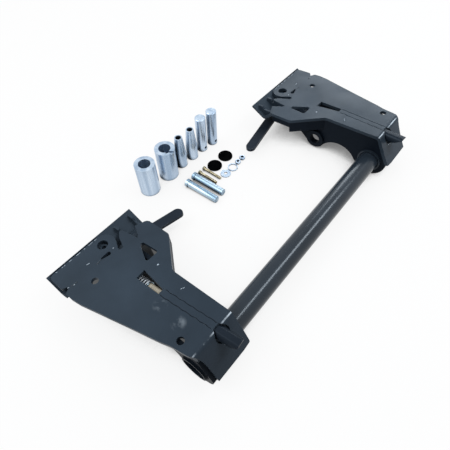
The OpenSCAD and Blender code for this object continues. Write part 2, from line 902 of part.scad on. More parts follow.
// Pivot pins, drilled across near the foot for the retainer bolts
module cross_pins() {
    chamfer = 1.5;
    color("lightsteelblue")
        translate([0, frame_y, 0])
            for (p = pin_at)
                translate([p[0], p[1], 0])
                    difference() {
                        union() {
                            cylinder(r1 = pin_r - chamfer, r2 = pin_r, h = chamfer);
                            translate([0, 0, chamfer]) cylinder(r = pin_r, h = pin_len - 2 * chamfer);
                            translate([0, 0, pin_len - chamfer])
                                cylinder(r1 = pin_r, r2 = pin_r - chamfer, h = chamfer);
                        }
                        translate([0, 2 * pin_r, 15])
                            rotate([90, 0, 0]) cylinder(r = cross_r, h = 4 * pin_r);
                    }
}

// Headed pins, each lying on the rim of its head and its far end
module headed_pins() {
    head_r = headed_r + 2;
    head = 9;
    nose = 2;
    lean = atan((head_r - headed_r) / (headed_len - head));
    color("lightsteelblue")
        translate([0, frame_y, head_r * cos(lean) + head * sin(lean)])
            for (p = headed_at)
                translate([p[0], p[1], 0])
                    rotate([90 + lean, 0, 3]) {
                        cylinder(r = head_r, h = head);
                        cylinder(r = headed_r, h = headed_len);
                        translate([0, 0, headed_len])
                            cylinder(r1 = headed_r, r2 = headed_r - nose, h = nose);
                    }
}

module retainer_bolts() {
    flats = 13;
    color("goldenrod")
        translate([0, frame_y, flats / 2])
            for (p = bolt_at)
                translate([p[0], p[1], 0])
                    rotate([90, 0, 0]) {
                        hex(flats, 6.5);
                        cylinder(r = 4.6, h = bolt_len);
                    }
}

module retainer_nuts() {
    h = 9;
    color("lightsteelblue")
        translate([0, frame_y, 0])
            for (p = nut_at)
                translate([p[0], p[1], 0])
                    difference() {
                        hex(nut_flats, h);
                        translate([0, 0, -1]) cylinder(r = 4.9, h = h + 2);
                    }
}

module rubber_discs() {
    color("black")
        translate([0, frame_y, 0])
            for (p = disc_at)
                translate([p[0], p[1], 0]) cylinder(r = disc_r, h = 5);
}

module flat_washer() {
    color("lightsteelblue")
        translate([ring_at[0][0], ring_at[0][1] + frame_y, 0]) ring(washer_r, 6, 3);
}

module split_ring() {
    color("lightsteelblue")
        translate([ring_at[1][0], ring_at[1][1] + frame_y, 0])
            difference() {
                ring(washer_r, washer_r - 3.5, 3);
                rotate([0, 0, -75]) translate([0, -1.2, -1]) cube([2 * washer_r, 2.4, 5]);
            }
}

face_plate(1);  // face_plate_right
face_plate(-1);  // face_plate_left
top_lip(1);  // top_lip_right
top_lip(-1);  // top_lip_left
lip_webs(1);  // lip_webs_right
lip_webs(-1);  // lip_webs_left
lip_boss(1);  // lip_boss_right
lip_boss(-1);  // lip_boss_left
rib(1, rib_in_x);  // inner_rib_right
rib(-1, rib_in_x);  // inner_rib_left
rib(1, rib_out_x);  // outer_rib_right
rib(-1, rib_out_x);  // outer_rib_left
skirt(1);  // skirt_right
skirt(-1);  // skirt_left
pivot_bushes(1);  // pivot_bushes_right
pivot_bushes(-1);  // pivot_bushes_left
tilt_bosses(1);  // tilt_bosses_right
tilt_bosses(-1);  // tilt_bosses_left
wedge_guide(1);  // wedge_guide_right
wedge_guide(-1);  // wedge_guide_left
lever_bracket(1);  // lever_bracket_right
lever_bracket(-1);  // lever_bracket_left
lever_spacer(1);  // lever_spacer_right
lever_spacer(-1);  // lever_spacer_left
lever_bolt(1);  // lever_bolt_right
lever_bolt(-1);  // lever_bolt_left
lever_washer(1);  // lever_washer_right
lever_washer(-1);  // lever_washer_left
cross_tube();
tube_collars();
lever(1);  // lever_right
lever(-1);  // lever_left
link_pin(1);  // link_pin_right
link_pin(-1);  // link_pin_left
link_clip(1);  // link_clip_right
link_clip(-1);  // link_clip_left
link_rod(1);  // link_rod_right
link_rod(-1);  // link_rod_left
link_sleeve(1);  // link_sleeve_right
link_sleeve(-1);  // link_sleeve_left
link_spring(1);  // link_spring_right
link_spring(-1);  // link_spring_left
spring_washers(1);  // spring_washers_right
spring_washers(-1);  // spring_washers_left
spring_nut(1);  // spring_nut_right
spring_nut(-1);  // spring_nut_left
wedge(1);  // wedge_right
wedge(-1);  // wedge_left
wedge_pin_piece(1);  // wedge_pin_right
wedge_pin_piece(-1);  // wedge_pin_left
pivot_sleeves();
tapered_sleeves();
cross_pins();
headed_pins();
retainer_bolts();
retainer_nuts();
rubber_discs();
flat_washer();
split_ring();
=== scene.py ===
"""Studio scene of a loader-side quick attach coupler with its loose pin kit."""

import json
import logging
import math
from dataclasses import dataclass, field
from enum import Enum
from typing import Callable, Iterable, Sequence

import bmesh
import bpy
from mathutils import Matrix, Vector

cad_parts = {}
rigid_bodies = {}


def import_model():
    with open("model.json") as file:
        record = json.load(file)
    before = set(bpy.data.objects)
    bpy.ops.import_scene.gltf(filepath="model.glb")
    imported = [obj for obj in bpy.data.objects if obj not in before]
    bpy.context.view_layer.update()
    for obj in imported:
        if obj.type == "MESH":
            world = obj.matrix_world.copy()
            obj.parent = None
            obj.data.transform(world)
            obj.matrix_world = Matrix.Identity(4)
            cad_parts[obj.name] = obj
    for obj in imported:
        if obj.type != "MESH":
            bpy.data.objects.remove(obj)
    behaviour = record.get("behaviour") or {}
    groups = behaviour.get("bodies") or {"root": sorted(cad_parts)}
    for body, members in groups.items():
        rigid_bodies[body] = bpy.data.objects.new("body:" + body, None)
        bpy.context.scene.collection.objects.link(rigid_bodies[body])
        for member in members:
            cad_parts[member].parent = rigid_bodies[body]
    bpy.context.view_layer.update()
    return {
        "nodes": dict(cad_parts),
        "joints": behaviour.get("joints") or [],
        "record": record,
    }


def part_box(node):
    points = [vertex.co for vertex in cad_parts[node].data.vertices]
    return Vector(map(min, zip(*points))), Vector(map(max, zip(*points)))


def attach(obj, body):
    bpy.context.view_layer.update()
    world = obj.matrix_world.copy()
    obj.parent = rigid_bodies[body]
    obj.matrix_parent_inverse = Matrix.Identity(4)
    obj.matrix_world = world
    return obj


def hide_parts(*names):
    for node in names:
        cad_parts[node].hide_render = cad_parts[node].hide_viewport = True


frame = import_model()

MM = 0.001

log = logging.getLogger("coupler")

Mesh = bpy.types.Mesh
Material = bpy.types.Material
Node = bpy.types.Node
Socket = bpy.types.NodeSocket
Colour = tuple[float, float, float]
Point = tuple[float, float, float]
Pair = tuple[float, float]


class Side(Enum):
    """The coupler's two mirrored halves, with the sign of their x."""

    RIGHT = 1
    LEFT = -1

    @property
    def word(self) -> str:
        """The side's word in node and body names."""
        return self.name.lower()


class Light(Enum):
    """Which job a studio lamp has."""

    KEY = "key"
    SHEEN = "sheen"
    STRIP = "strip"


# Shader graphs


class Graph:
    """Short names for making nodes and links in one node tree."""

    def __init__(self, tree: bpy.types.NodeTree) -> None:
        """Keep the tree and clear it."""
        self.tree = tree
        self.tree.nodes.clear()

    def node(self, kind: str, **settings: object) -> Node:
        """Add a node and set its properties.

        Args:
            kind: The node's type name.
            settings: Properties of the node, by name.

        Returns:
            The new node.
        """
        made = self.tree.nodes.new(kind)
        for name, value in settings.items():
            setattr(made, name, value)
        return made

    def link(self, source: Socket, target: Socket) -> None:
        """Join an output socket to an input socket."""
        self.tree.links.new(source, target)

    def links(self, *pairs: tuple[Socket, Socket]) -> None:
        """Join several pairs of an output and an input socket."""
        for source, target in pairs:
            self.link(source, target)

    def maths(self, operation: str, *values: object) -> Socket:
        """Add a Math node whose inputs are sockets or numbers.

        Args:
            operation: The operation's name.
            values: Its inputs, each a socket or a number.

        Returns:
            The node's output.
        """
        made = self.node("ShaderNodeMath", operation=operation)
        for socket, value in zip(made.inputs, values):
            if isinstance(value, Socket):
                self.link(value, socket)
            else:
                socket.default_value = value
        return made.outputs[0]

    def times(self, a: object, b: object) -> Socket:
        """Multiply two sockets or numbers."""
        return self.maths("MULTIPLY", a, b)

    def spread(self, value: Socket, low: float, high: float, to_low: float = 0.0,
               to_high: float = 1.0) -> Socket:
        """Map a range of a value onto another range, with clamped ends.

        Args:
            value: The socket to map.
            low: Where the source range starts.
            high: Where the source range ends.
            to_low: Result at low.
            to_high: Result at high.

        Returns:
            The mapped value.
        """
        made = self.node("ShaderNodeMapRange")
        self.link(value, made.inputs[0])
        for index, number in enumerate((low, high, to_low, to_high), 1):
            made.inputs[index].default_value = number
        return made.outputs[0]

    def blend(self, factor: Socket, a: object, b: object) -> Socket:
        """Mix two colours by a factor.

        Args:
            factor: How much of b shows.
            a: First colour, as a socket or three numbers.
            b: Second colour, as a socket or three numbers.

        Returns:
            The mixed colour.
        """
        made = self.node("ShaderNodeMix", data_type="RGBA")
        self.link(factor, made.inputs[0])
        for index, value in ((6, a), (7, b)):
            if isinstance(value, Socket):
                self.link(value, made.inputs[index])
            else:
                made.inputs[index].default_value = (*value, 1.0)
        return made.outputs[2]

    def noise(self, scale: float, detail: float = 3.0, stretch: Point = (1, 1, 1)) -> Socket:
        """Add noise in the object's own coordinates.

        Args:
            scale: Cells per metre.
            detail: Octaves of finer noise.
            stretch: Scale along each axis.

        Returns:
            The noise's value.
        """
        place = self.node("ShaderNodeTexCoord")
        mapping = self.node("ShaderNodeMapping")
        mapping.inputs["Scale"].default_value = stretch
        made = self.node("ShaderNodeTexNoise")
        made.inputs["Scale"].default_value = scale
        made.inputs["Detail"].default_value = detail
        self.links((place.outputs["Object"], mapping.inputs["Vector"]),
                   (mapping.outputs["Vector"], made.inputs["Vector"]))
        return made.outputs[0]

    def near(self, place: Vector, reach: float, axes: Point = (1, 1, 1)) -> Socket:
        """Find how near a surface is to a place.

        Args:
            place: The place, in the object's coordinates.
            reach: Distance at which the mask falls to 0, in metres.
            axes: 0 for an axis along which the place runs on as a line.

        Returns:
            A mask that is 1 at the place.
        """
        point = self.node("ShaderNodeTexCoord")
        away = self.node("ShaderNodeVectorMath", operation="SUBTRACT")
        away.inputs[1].default_value = place
        kept = self.node("ShaderNodeVectorMath", operation="MULTIPLY")
        kept.inputs[1].default_value = axes
        size = self.node("ShaderNodeVectorMath", operation="LENGTH")
        self.links((point.outputs["Object"], away.inputs[0]), (away.outputs[0], kept.inputs[0]),
                   (kept.outputs[0], size.inputs[0]))
        return self.spread(size.outputs["Value"], reach, reach * 0.3)


def new_material(name: str) -> tuple[Material, Graph, Node]:
    """Start a material with a principled shader and its output.

    Args:
        name: The material's name.

    Returns:
        The material, its graph and its principled node.
    """
    material = bpy.data.materials.new(name)
    material.use_nodes = True
    graph = Graph(material.node_tree)
    shader = graph.node("ShaderNodeBsdfPrincipled")
    output = graph.node("ShaderNodeOutputMaterial")
    graph.link(shader.outputs[0], output.inputs[0])
    return material, graph, shader


# Cosines between the true and the rounded normal where the lightened edge begins and is whole; the
# lightening is partly edge wear, partly a painted edge highlight.
EDGE_MASK_BEGINS, EDGE_MASK_WHOLE = 0.975, 0.82


def soft_edge(graph: Graph, radius: float) -> tuple[Socket, Socket]:
    """Round a part's edges in shading and find where they are.

    Args:
        graph: The material's graph.
        radius: Edge radius in metres.

    Returns:
        The rounded normal, and a mask that is 1 on the edges.
    """
    bevel = graph.node("ShaderNodeBevel", samples=6)
    bevel.inputs["Radius"].default_value = radius
    flat = graph.node("ShaderNodeNewGeometry")
    dot = graph.node("ShaderNodeVectorMath", operation="DOT_PRODUCT")
    graph.link(bevel.outputs[0], dot.inputs[0])
    graph.link(flat.outputs["Normal"], dot.inputs[1])
    return bevel.outputs[0], graph.spread(dot.outputs["Value"], EDGE_MASK_BEGINS, EDGE_MASK_WHOLE)


def roughen(graph: Graph, shader: Node, height: Socket, strength: float, depth: float,
            normal: Socket | None = None) -> None:
    """Give a shader a fine relief.

    Args:
        graph: The material's graph.
        shader: Its principled node.
        height: The relief's height.
        strength: How much of the relief shows.
        depth: The relief's full depth in metres.
        normal: The normal under the relief, where it isn't the surface's own.
    """
    bump = graph.node("ShaderNodeBump")
    bump.inputs["Strength"].default_value = strength
    bump.inputs["Distance"].default_value = depth
    graph.link(height, bump.inputs["Height"])
    if normal:
        graph.link(normal, bump.inputs["Normal"])
    graph.link(bump.outputs[0], shader.inputs["Normal"])


def scaled(colour: Colour, factor: float, lift: float = 0.0) -> Colour:
    """Return a colour times a factor, plus a lift, at most white."""
    return tuple(min(1.0, part * factor + lift) for part in colour)


@dataclass(frozen=True)
class Paint:
    """Sprayed paint on steel, with cloudy gloss, orange peel, dust, edges lightened partly as wear and
    partly as a painted highlight, and where set a painted bend highlight with two smudges.
    """

    name: str
    colour: Colour
    roughness: float = 0.42
    coat: float = 0.0
    coat_roughness: float = 0.2
    cloud: float = 0.25
    peel: float = 0.05
    wear: float = 0.35
    gloss: float = 0.2
    mottle: float = 0.08
    rubbed: bool = False
    bare: float = 0.05
    edge: float = 1.2 * MM
    tint: Colour = (0.72, 0.86, 1.0)
    cloud_scale: float = 6.0
    dust_scale: float = 420.0
    dust_patch_scale: float = 14.0
    dust_share: float = 0.35
    scuff_scale: float = 90.0
    mottle_scale: float = 11.0
    peel_scale: float = 260.0
    peel_depth: float = 0.4 * MM

    def material(self) -> Material:
        """Build the paint's material."""
        material, graph, shader = new_material(self.name)
        normal, rim = soft_edge(graph, self.edge)
        graph.link(self.body(graph, rim), shader.inputs["Base Color"])
        shader.inputs["Roughness"].default_value = self.roughness
        if self.mottle:
            mottle = graph.spread(graph.noise(self.mottle_scale, 5.0), 0.3, 0.7,
                                  self.roughness - self.mottle, self.roughness + self.mottle)
            graph.link(mottle, shader.inputs["Roughness"])
        if self.peel:
            roughen(graph, shader, graph.noise(self.peel_scale), self.peel, self.peel_depth, normal)
        shader.inputs["Specular IOR Level"].default_value = self.gloss
        shader.inputs["Specular Tint"].default_value = (*self.tint, 1.0)
        shader.inputs["Coat Weight"].default_value = self.coat
        shader.inputs["Coat Roughness"].default_value = self.coat_roughness
        return material

    def body(self, graph: Graph, rim: Socket) -> Socket:
        """Colour the paint with clouds, dust, edges lightened partly as wear and partly as a painted
        highlight, and where set the bend's painted highlight and the smudges.

        Args:
            graph: The material's graph.
            rim: A mask that is 1 on the edges.

        Returns:
            The colour.
        """
        clouds = graph.spread(graph.noise(self.cloud_scale, 4.0), 0.3, 0.7)
        body = graph.blend(clouds, scaled(self.colour, 1 - self.cloud),
                           scaled(self.colour, 1 + self.cloud))
        specks = graph.spread(graph.noise(self.dust_scale, 2.0), 0.70, 0.78)
        patches = graph.spread(graph.noise(self.dust_patch_scale), 0.50, 0.70)
        dust = graph.times(graph.times(specks, patches), self.dust_share)
        body = graph.blend(dust, body, scaled(self.colour, 2.2, 0.02))
        # Edges lightened in patches: partly edge wear, partly a painted edge highlight.
        edge_patches = graph.spread(graph.noise(self.scuff_scale, 5.0), 0.42, 0.62)
        edge_lightening = graph.times(graph.times(rim, edge_patches), self.wear)
        body = graph.blend(edge_lightening, body, scaled(self.colour, 2.6, self.bare))
        if self.rubbed:
            # Painted highlight along the bend, and two pale smudges.
            body = graph.blend(Rubbing().mask(graph), body, Rubbing.colour)
        return body


@dataclass(frozen=True)
class Rubbing:
    """A painted highlight along the left face's bend, and two pale smudges on the face."""

    # Pale colour of the painted bend highlight and of the smudges.
    colour: Colour = (0.60, 0.66, 0.72)
    bend: Point = (0.0, -43.6, -1.9)
    bend_reach: float = 2.4 * MM
    smudges: tuple[Pair, ...] = ((437.7, 95.7), (444.1, 31.1))
    smudge_reach: float = 20 * MM
    smudge_share: float = 0.30

    def mask(self, graph: Graph) -> Socket:
        """Find the painted bend highlight and the smudges.

        Args:
            graph: The material's graph.

        Returns:
            A mask that is 1 on the bend's painted highlight and in the smudges.
        """
        plate = PlateFrame(Side.LEFT)
        bend = graph.near(plate.at(*self.bend), self.bend_reach, (0, 1, 1))
        rubbed = graph.times(bend, graph.spread(graph.noise(26.0), 0.40, 0.58))
        for x, y in self.smudges:
            cloud = graph.spread(graph.noise(50.0, 4.0), 0.42, 0.72)
            smudge = graph.times(graph.near(plate.at(x, y), self.smudge_reach), cloud)
            rubbed = graph.maths("MAXIMUM", rubbed, graph.times(smudge, self.smudge_share))
        return rubbed


@dataclass(frozen=True)
class Plating:
    """Zinc plate on turned steel, with a streaky passivation and painted shade that darkens bores and
    other hollows.
    """

    name: str
    colour: Colour
    tint: Colour
    roughness: float = 0.28
    streaks: Point = (1, 1, 1)
    streak_scale: float = 38.0
    line_scale: float = 300.0
    metal: float = 0.92
    edge: float = 0.6 * MM
    grime_reach: float = 0.03
    grime: float = 0.04

    def material(self) -> Material:
        """Build the plating's material."""
        material, graph, shader = new_material(self.name)
        _, rim = soft_edge(graph, self.edge)
        film = graph.spread(graph.noise(self.streak_scale, 3.0, self.streaks), 0.35, 0.68)
        body = graph.blend(film, self.colour, self.tint)
        # Lighter edges: partly edge wear, partly a painted edge highlight.
        body = graph.blend(graph.times(rim, 0.6), body, scaled(self.colour, 1.15, 0.03))
        # Painted shade: enclosed places (bores, gaps between neighbours, the fringe by the floor) turn
        # dark and lose their metal.
        sky = graph.node("ShaderNodeAmbientOcclusion", samples=12)
        sky.inputs["Distance"].default_value = self.grime_reach
        deep = graph.spread(sky.outputs["AO"], 0.62, 0.36)
        body = graph.blend(deep, body, scaled(self.colour, self.grime))
        graph.link(body, shader.inputs["Base Color"])
        graph.link(graph.spread(deep, 0, 1, self.metal, 0.0), shader.inputs["Metallic"])
        shader.inputs["Specular IOR Level"].default_value = 0.0
        lines = graph.noise(self.line_scale, 2.0, self.streaks)
        gloss = graph.spread(lines, 0.3, 0.7, self.roughness - 0.02, self.roughness + 0.03)
        graph.link(gloss, shader.inputs["Roughness"])
        roughen(graph, shader, lines, 0.02, 0.1 * MM)
        return material


@dataclass(frozen=True)
class Rubber:
    """Matt black rubber with a fine grain."""

    name: str
    colour: Colour
    edge: float = 0.8 * MM
    grain_scale: float = 900.0

    def material(self) -> Material:
        """Build the rubber's material."""
        material, graph, shader = new_material(self.name)
        normal, _ = soft_edge(graph, self.edge)
        bloom = graph.spread(graph.noise(60.0), 0.35, 0.7)
        graph.link(graph.blend(bloom, self.colour, scaled(self.colour, 1.8, 0.001)),
                   shader.inputs["Base Color"])
        graph.link(graph.spread(graph.noise(120.0), 0.3, 0.7, 0.5, 0.66), shader.inputs["Roughness"])
        roughen(graph, shader, graph.noise(self.grain_scale), 0.12, 0.3 * MM, normal)
        shader.inputs["Specular IOR Level"].default_value = 0.0
        return material


FINISHES = {finish.name: finish for finish in (
    Paint("face_paint", (0.028, 0.039, 0.053), roughness=0.40, wear=0.45, gloss=0.14, rubbed=True),
    # frame_paint's base colour is set several times darker than face_paint: painted shade on the ribs,
    # skirts and hub.
    Paint("frame_paint", (0.006, 0.009, 0.014), roughness=0.46, gloss=0.05),
    Paint("tube_paint", (0.018, 0.025, 0.034), roughness=0.22, coat=0.35, wear=0.1, peel=0.0,
          gloss=0.16, mottle=0.0),
    Paint("dark_steel", (0.012, 0.017, 0.025), roughness=0.34, wear=0.9, gloss=0.12, bare=0.26),
    # Near-black paint for the beads along the wedge guide: painted shade of the grooves there.
    Paint("dark_seam", (0.004, 0.006, 0.009), roughness=0.5, wear=0.0, gloss=0.1),
    Paint("weld_paint", (0.030, 0.040, 0.052), roughness=0.22, coat=0.5, wear=0.0, peel=0.15),
    # Pale paint for the spatter drops and the lip's dashes: painted glints.
    Paint("spatter", (0.50, 0.56, 0.62), roughness=0.3, wear=0.0, peel=0.0, gloss=0.5),
    Paint("tan_sleeve", (0.72, 0.62, 0.47), roughness=0.55, cloud=0.06, wear=0.0, gloss=0.4),
    # Near-white coil paint: the spring's bright zinc lifted further as painted light, so the coil shows
    # bright in the window's shade.
    Paint("coil_zinc", (0.84, 0.87, 0.90), roughness=0.35, cloud=0.04, wear=0.0, gloss=0.6, peel=0.0),
    Plating("blue_zinc", (0.37, 0.48, 0.62), (0.60, 0.71, 0.84), streaks=(1, 1, 0.05),
            streak_scale=60.0),
    Plating("bright_zinc", (0.40, 0.53, 0.61), (0.57, 0.70, 0.79), roughness=0.24,
            streaks=(1, 1, 0.05), streak_scale=70.0),
    # Pin zinc: dark-to-pale stripes along the pins' length, partly passivation, partly painted
    # reflection of their surroundings.
    Plating("pin_zinc", (0.16, 0.25, 0.34), (0.56, 0.68, 0.77), roughness=0.42,
            streaks=(1, 0.03, 1), streak_scale=80.0),
    Plating("yellow_zinc", (0.30, 0.25, 0.15), (0.46, 0.41, 0.29), roughness=0.3),
    Rubber("black_rubber", (0.0012, 0.0012, 0.0013)),
)}


@dataclass
class Palette:
    """Every finish's material, made once."""

    made: dict[str, Material] = field(default_factory=dict)

    def __getitem__(self, name: str) -> Material:
        """Return the material of that name, making it on first use."""
        if name not in self.made:
            self.made[name] = FINISHES[name].material()
        return self.made[name]


# Places and solids of the CAD


@dataclass
class PlateFrame:
    """Turns millimetres in the plate's frame into the row's metres."""

    side: Side
    hole_x: float = 470.4
    hole_depth: float = 5.0

    def __post_init__(self) -> None:
        """Read where the face lies from the lower bolt hole."""
        mounts = {m["name"]: m for m in frame["record"]["mounts"]}
        hole = mounts["lower_bolt_hole_right"]
        self.normal = Vector(hole["axis"]).normalized()
        self.up = self.normal.cross(Vector((1, 0, 0))).normalized()
        self.origin = Vector(hole["pos_m"]) + self.normal * self.hole_depth * MM
        self.origin.x -= self.hole_x * MM

    def at(self, x: float, y: float, z: float = 0.0) -> Vector:
        """Place a point x mm from the middle, y up from the lower bolt hole and z above the face."""
        sideways = Vector((self.side.value * x * MM, 0, 0))
        return self.origin + sideways + self.up * y * MM + self.normal * z * MM

    def back(self, point: Vector) -> Point:
        """Give a row point's place in the plate's frame, in mm."""
        away = point - self.origin
        return (away.x * self.side.value / MM, away.dot(self.up) / MM, away.dot(self.normal) / MM)


def body_of(node: str) -> str:
    """Return the name of the CAD body that a node belongs to."""
    bodies = frame["record"]["behaviour"]["bodies"]
    return next(body for body, members in bodies.items() if node in members)


def merged(node: str) -> bmesh.types.BMesh:
    """Copy a CAD node's loose triangles and merge them along their seams.

    Args:
        node: The node's name.

    Returns:
        The merged copy, to be freed by the caller.
    """
    shape = bmesh.new()
    shape.from_mesh(frame["nodes"][node].data)
    bmesh.ops.remove_doubles(shape, verts=shape.verts, dist=1e-6)
    return shape


def solid_boxes(node: str) -> list[tuple[Vector, Vector]]:
    """Find the box of each separate solid in a node, from left to right.

    Args:
        node: The node's name.

    Returns:
        Lowest and highest corner of each solid, in metres.
    """
    shape = merged(node)
    left = set(shape.verts)
    boxes = []
    while left:
        queue = [left.pop()]
        low, high = queue[0].co.copy(), queue[0].co.copy()
        while queue:
            vert = queue.pop()
            low = Vector(map(min, low, vert.co))
            high = Vector(map(max, high, vert.co))
            near = {edge.other_vert(vert) for edge in vert.link_edges} & left
            left -= near
            queue += near
        boxes.append((low, high))
    shape.free()
    return sorted(boxes, key=lambda box: box[0].x)


def centre_of(node: str) -> Vector:
    """Return the middle of a CAD node's box."""
    low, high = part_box(node)
    return (low + high) / 2


def placed(name: str, data: bpy.types.ID) -> bpy.types.Object:
    """Put a new object with this data into the scene."""
    made = bpy.data.objects.new(name, data)
    bpy.context.scene.collection.objects.link(made)
    return made


# Geometry trees


def modified(mesh: Mesh, kind: str, settings: dict[str, object],
             inputs: dict[str, object]) -> Mesh:
    """Apply one modifier to a mesh.

    Args:
        mesh: The mesh that it starts from.
        kind: The modifier's type name.
        settings: Its properties, by name.
        inputs: Its tree's inputs, by socket identifier.

    Returns:
        A plain mesh with the result.
    """
    carrier = placed("carrier", mesh)
    modifier = carrier.modifiers.new("change", kind)
    for name, value in settings.items():
        setattr(modifier, name, value)
    for name, value in inputs.items():
        modifier[name] = value
    bpy.context.view_layer.update()
    seen = carrier.evaluated_get(bpy.context.evaluated_depsgraph_get())
    result = bpy.data.meshes.new_from_object(seen)
    bpy.data.objects.remove(carrier)
    return result


class Recipe:
    """A geometry node tree whose named inputs are set by their sockets' identifiers."""

    def __init__(self, name: str, sizes: dict[str, float], takes_mesh: bool) -> None:
        """Start the tree.

        Args:
            name: The tree's name.
            sizes: Named float inputs with their defaults.
            takes_mesh: Whether the tree reads the object's own mesh.
        """
        tree = bpy.data.node_groups.new(name, "GeometryNodeTree")
        tree.is_modifier = True
        if takes_mesh:
            tree.interface.new_socket("Geometry", in_out="INPUT", socket_type="NodeSocketGeometry")
        self.ids: dict[str, str] = {}
        for size, value in sizes.items():
            socket = tree.interface.new_socket(size, in_out="INPUT", socket_type="NodeSocketFloat")
            socket.default_value = value
            self.ids[size] = socket.identifier
        socket = tree.interface.new_socket("Material", in_out="INPUT", socket_type="NodeSocketMaterial")
        self.ids["Material"] = socket.identifier
        tree.interface.new_socket("Geometry", in_out="OUTPUT", socket_type="NodeSocketGeometry")
        self.graph = Graph(tree)
        self.given = self.graph.node("NodeGroupInput")

    def end(self, geometry: Socket) -> None:
        """Realise, dress and put out the result.

        Args:
            geometry: The socket that holds the made geometry.
        """
        smooth = self.graph.node("GeometryNodeSetShadeSmooth")
        real = self.graph.node("GeometryNodeRealizeInstances")
        dressed = self.graph.node("GeometryNodeSetMaterial")
        out = self.graph.node("NodeGroupOutput")
        self.graph.links((geometry, real.inputs[0]), (real.outputs[0], smooth.inputs[0]),
                         (smooth.outputs[0], dressed.inputs[0]), (dressed.outputs[0], out.inputs[0]),
                         (self.given.outputs["Material"], dressed.inputs["Material"]))

    def run(self, mesh: Mesh, sizes: dict[str, object]) -> Mesh:
        """Apply the tree to a mesh, with values for the named inputs."""
        inputs = {self.ids[name]: value for name, value in sizes.items()}
        return modified(mesh, "NODES", {"node_group": self.graph.tree}, inputs)


def bead_recipe() -> Recipe:
    """Build the tree that lays overlapping weld beads along a line.

    Returns:
        The recipe, which reads a mesh of edges.
    """
    recipe = Recipe("weld_beads", {"Spacing": 1.6 * MM, "Bead": 2.0 * MM, "Spread": 0.2}, True)
    graph, given = recipe.graph, recipe.given.outputs
    line = graph.node("GeometryNodeMeshToCurve")
    even = graph.node("GeometryNodeResampleCurve", mode="LENGTH")
    ball = graph.node("GeometryNodeMeshIcoSphere")
    ball.inputs["Subdivisions"].default_value = 2
    vary = graph.node("FunctionNodeRandomValue", data_type="FLOAT")
    vary.inputs["Seed"].default_value = 7
    graph.link(graph.maths("SUBTRACT", 1.0, given["Spread"]), vary.inputs[2])
    graph.link(graph.maths("ADD", 1.0, given["Spread"]), vary.inputs[3])
    put = graph.node("GeometryNodeInstanceOnPoints")
    graph.links((given["Geometry"], line.inputs[0]), (line.outputs[0], even.inputs["Curve"]),
                (given["Spacing"], even.inputs["Length"]), (given["Bead"], ball.inputs["Radius"]),
                (even.outputs[0], put.inputs["Points"]), (ball.outputs[0], put.inputs["Instance"]),
                (vary.outputs[1], put.inputs["Scale"]))
    recipe.end(put.outputs[0])
    return recipe


def coil_recipe() -> Recipe:
    """Build the tree that sweeps a round wire up a helix.

    Returns:
        The recipe, which makes its own curve.
    """
    sizes = {"Turns": 10.0, "Mean Radius": 10 * MM, "Height": 70 * MM, "Wire": 1.6 * MM,
             "Steps": 28.0, "Sides": 10.0}
    recipe = Recipe("wire_coil", sizes, False)
    graph, given = recipe.graph, recipe.given.outputs
    helix = graph.node("GeometryNodeCurveSpiral")
    wire = graph.node("GeometryNodeCurvePrimitiveCircle")
    sweep = graph.node("GeometryNodeCurveToMesh")
    sweep.inputs["Fill Caps"].default_value = True
    graph.links((given["Steps"], helix.inputs["Resolution"]),
                (given["Turns"], helix.inputs["Rotations"]),
                (given["Mean Radius"], helix.inputs["Start Radius"]),
                (given["Mean Radius"], helix.inputs["End Radius"]),
                (given["Height"], helix.inputs["Height"]),
                (given["Sides"], wire.inputs["Resolution"]), (given["Wire"], wire.inputs["Radius"]),
                (helix.outputs[0], sweep.inputs["Curve"]),
                (wire.outputs[0], sweep.inputs["Profile Curve"]))
    recipe.end(sweep.outputs[0])
    return recipe


@dataclass
class Workshop:
    """What every sub-assembly shares: the palette and the two recipes."""

    palette: Palette = field(default_factory=Palette)
    beads: Recipe = field(default_factory=bead_recipe)
    coils: Recipe = field(default_factory=coil_recipe)
    bead_overlap: float = 0.75
    bead_spread: float = 0.2

    def piece(self, name: str, mesh: Mesh, body: str, slot: str,
              stands_for: Sequence[str] = ()) -> None:
        """Turn a finished mesh into a piece of the coupler.

        Args:
            name: The piece's name.
            mesh: Its mesh, in the row's frame.
            body: The CAD body it rides on.
            slot: The record's material slot; not used.
            stands_for: CAD nodes that it replaces.
        """
        made = placed(name, mesh)
        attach(made, body)
        if stands_for:
            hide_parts(*stands_for)
        log.info("%s rides on %s, %d faces", name, body, len(mesh.polygons))

    def weld(self, name: str, runs: Iterable[Sequence[Vector]], bead: float, finish: str) -> None:
        """Lay weld beads along several lines as one piece of the frame.

        Args:
            name: The piece's name.
            runs: Lines, each a list of points in the row's frame.
            bead: Radius of a bead, in metres.
            finish: The finish's name.
        """
        mesh = bpy.data.meshes.new(name)
        points: list[Vector] = []
        edges: list[tuple[int, int]] = []
        for run in runs:
            first = len(points)
            points += run
            edges += [(i, i + 1) for i in range(first, len(points) - 1)]
        mesh.from_pydata(points, edges, [])
        sizes = {"Spacing": bead * self.bead_overlap, "Bead": bead, "Spread": self.bead_spread,
                 "Material": self.palette[finish]}
        self.piece(name, self.beads.run(mesh, sizes), "frame", "frame_paint")


def joined(meshes: Iterable[Mesh], name: str, material: Material) -> Mesh:
    """Join several meshes into one of a single material.

    Args:
        meshes: The meshes, already in place.
        name: The result's name.
        material: Its material.

    Returns:
        One mesh.
    """
    whole = bmesh.new()
    for mesh in meshes:
        whole.from_mesh(mesh)
    result = bpy.data.meshes.new(name)
    whole.to_mesh(result)
    whole.free()
    result.materials.append(material)
    return result


def spot(radius: float, angle: float, height: float) -> Vector:
    """Return a point about the z axis, in metres, from millimetres and an angle."""
    return Vector((radius * math.cos(angle), radius * math.sin(angle), height)) * MM


